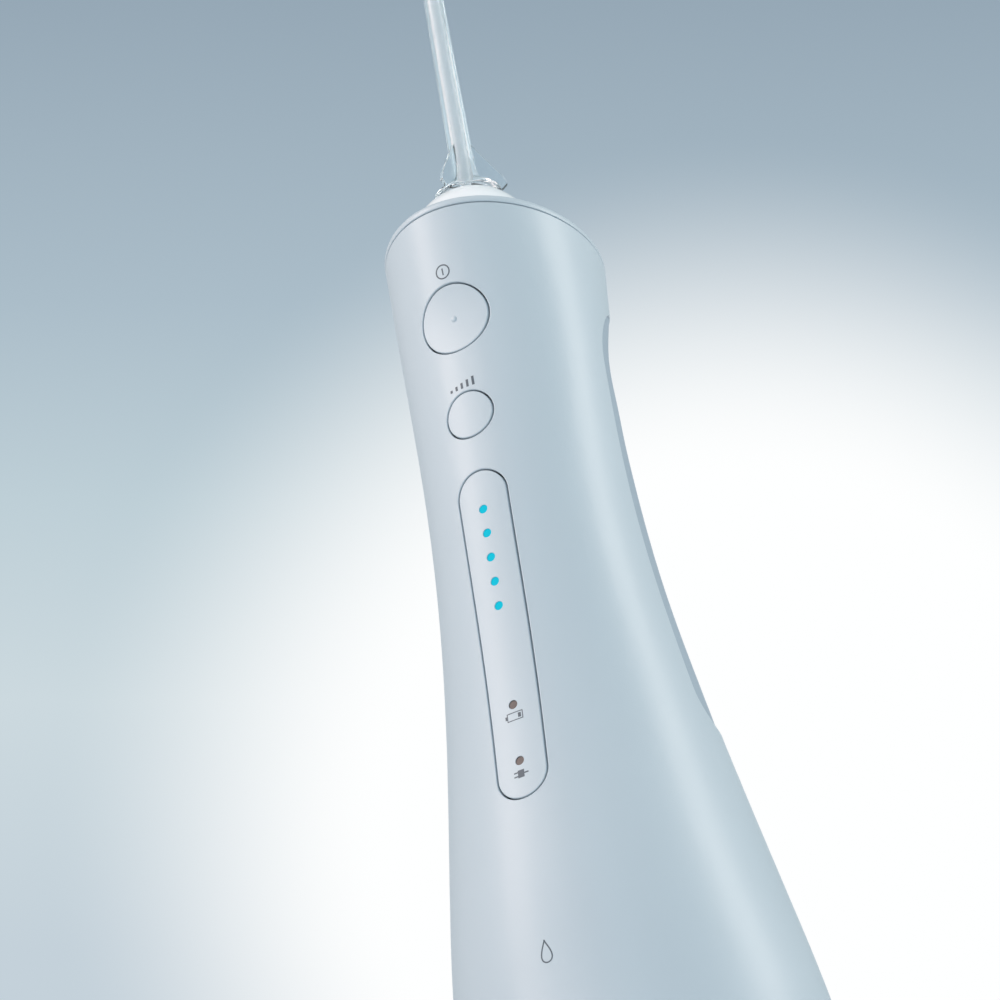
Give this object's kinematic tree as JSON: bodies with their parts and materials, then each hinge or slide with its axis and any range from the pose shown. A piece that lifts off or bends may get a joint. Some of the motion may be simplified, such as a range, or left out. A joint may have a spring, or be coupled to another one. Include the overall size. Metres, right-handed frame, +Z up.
{
  "type": "water flosser",
  "caption": "Cordless hand-held water flosser with a flared body, front buttons and lamp panel, clear finned nozzle, rear grip and removable tank with a filler lid.",
  "frame": {"origin": "centre of the base, on the surface the flosser stands on", "axes": "+Z up along the nozzle, -Y out of the button face, +X to the right seen from the front"},
  "size_m": [0.0768, 0.0823, 0.2872],
  "materials": {
    "body_shell": "satin with a fine pearl",
    "grip_soft": "soft matte",
    "dome_white": "glossy white",
    "clear": "clear polished",
    "tank_tint": "translucent blue-grey",
    "lamp_blue": "lit blue lamp",
    "lamp_off": "unlit lamp",
    "rubber_dark": "matte",
    "board_green": "satin",
    "led_white": "matte",
    "switch_black": "matte",
    "cell_wrap": "glossy sleeve",
    "nickel": "brushed",
    "copper": "enamelled wire",
    "ferrite": "matte",
    "inner_white": "matte",
    "gear_white": "matte",
    "brass": "turned",
    "motor_steel": "brushed",
    "magnet": "matte",
    "hose": "semi-clear silicone",
    "filter_grey": "matte",
    "lead_red": "satin"
  },
  "bodies": {
    "handle": {"main_housing": "body_shell", "top_cap": "body_shell", "indicator_panel": "body_shell", "grip_pad": "grip_soft", "nozzle_dome": "dome_white", "level_lenses": "lamp_blue", "battery_lens": "lamp_off", "charge_lens": "lamp_off", "button_membrane": "rubber_dark", "front_foot": "rubber_dark", "circuit_board": "board_green", "indicator_leds": "led_white", "tact_switches": "switch_black", "board_chips": "switch_black", "battery_cells": "cell_wrap", "battery_tabs": "nickel", "rear_screws": "nickel", "gear_axle": "nickel", "latch_spring": "nickel", "valve_spring": "nickel", "valve_ball": "nickel", "charging_coil": "copper", "coil_core": "ferrite", "chassis": "inner_white", "rear_cover": "inner_white", "base_cover": "inner_white", "pump_cylinder": "inner_white", "pump_head": "inner_white", "outlet_tube": "inner_white", "suction_port": "inner_white", "motor_end": "inner_white", "motor_can": "motor_steel", "motor_magnets": "magnet", "inlet_tube": "hose", "motor_leads": "lead_red"},
    "power_key": {"power_button": "body_shell"},
    "level_key": {"level_button": "body_shell"},
    "release": {"release_button": "body_shell", "release_latch": "inner_white"},
    "swivel": {"nozzle_sleeve": "dome_white", "swivel_ring": "rubber_dark"},
    "nozzle_unit": {"nozzle": "clear", "nozzle_ring": "rubber_dark"},
    "tank": {"water_tank": "tank_tint", "port_seal": "rubber_dark", "suction_tube": "hose", "suction_filter": "filter_grey", "tank_feet": "rubber_dark", "lid_pin": "nickel"},
    "lid": {"tank_lid": "tank_tint", "lid_seal": "rubber_dark"},
    "rotor": {"motor_rotor": "motor_steel", "drive_pinion": "brass"},
    "crown": {"crown_gear": "gear_white", "crank_pin": "nickel"},
    "piston": {"pump_piston": "gear_white", "piston_seal": "rubber_dark"}
  },
  "joints": [
    {"name": "power_press", "type": "slide", "parent": "handle", "child": "power_key", "axis": [0, 1, 0], "range_m": [0, 0.0008], "stiffness_N_per_m": 1500, "springref_m": -0.0004},
    {"name": "level_press", "type": "slide", "parent": "handle", "child": "level_key", "axis": [0, 1, 0], "range_m": [0, 0.0008], "stiffness_N_per_m": 1500, "springref_m": -0.0004},
    {"name": "release_press", "type": "slide", "parent": "handle", "child": "release", "axis": [0, -1, 0], "range_m": [0, 0.0015], "stiffness_N_per_m": 900, "springref_m": -0.0008, "deforming": ["latch_spring"]},
    {"name": "nozzle_turn", "type": "hinge", "parent": "handle", "child": "swivel", "pos_m": [0, -0.016, 0.1905], "axis": [0, 0, 1], "continuous": true},
    {"name": "nozzle_pull", "type": "slide", "parent": "swivel", "child": "nozzle_unit", "axis": [0, 0, 1], "range_m": [0, 0.05]},
    {"name": "tank_slide", "type": "slide", "parent": "handle", "child": "tank", "axis": [0, 0.1736, -0.9848], "range_m": [0, 0.075]},
    {"name": "lid_swing", "type": "hinge", "parent": "tank", "child": "lid", "pos_m": [0, 0.0286, 0.0389], "axis": [-1, 0, 0], "range_deg": [0, 90]},
    {"name": "rotor_spin", "type": "hinge", "parent": "handle", "child": "rotor", "pos_m": [0, -0.0077, 0.092], "axis": [0, 0, 1], "continuous": true},
    {"name": "crown_spin", "type": "hinge", "parent": "handle", "child": "crown", "pos_m": [0, -0.011, 0.122], "axis": [0, 1, 0], "continuous": true},
    {"name": "piston_stroke", "type": "slide", "parent": "handle", "child": "piston", "axis": [0, 0, 1], "range_m": [-0.0025, 0.0025]}
  ],
  "couplings": [
    {"joint": "crown_spin", "follows": "rotor_spin", "ratio": -0.25}
  ]
}
